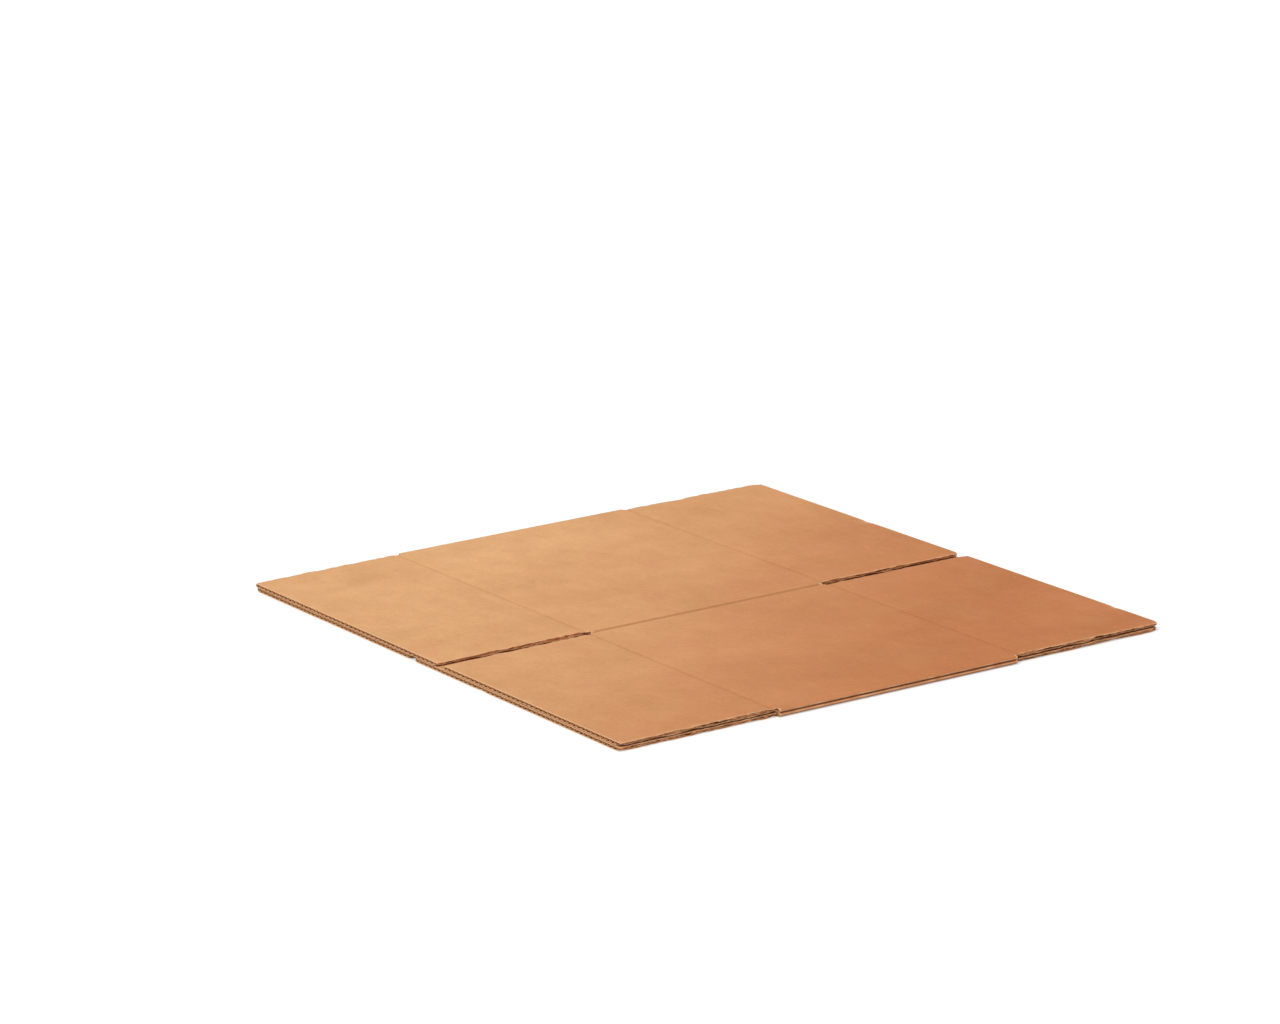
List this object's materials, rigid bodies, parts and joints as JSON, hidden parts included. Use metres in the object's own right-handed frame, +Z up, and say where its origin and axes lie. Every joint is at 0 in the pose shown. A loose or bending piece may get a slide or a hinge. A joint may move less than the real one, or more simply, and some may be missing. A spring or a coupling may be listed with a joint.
{
  "type": "flattened cardboard box",
  "caption": "Slotted shipping box of single-wall fluted board, folded flat: a folded sheet with glued side joint, slots, flap creases and open flute ends.",
  "frame": {"origin": "middle of the underside, on the surface the flat box lies on", "axes": "+X across the two panels of each wall, towards the folded edge whose upper panel is the narrow one, +Y along the flutes, from the front flap ends to the back ones, +Z up, out of the upper wall with the glued joint"},
  "size_m": [0.6604, 0.5588, 0.0081],
  "materials": {
    "kraft_board": "matte brown kraft paper, unprinted"
  },
  "bodies": {
    "root": {"flattened_box": "kraft_board"}
  },
  "joints": []
}
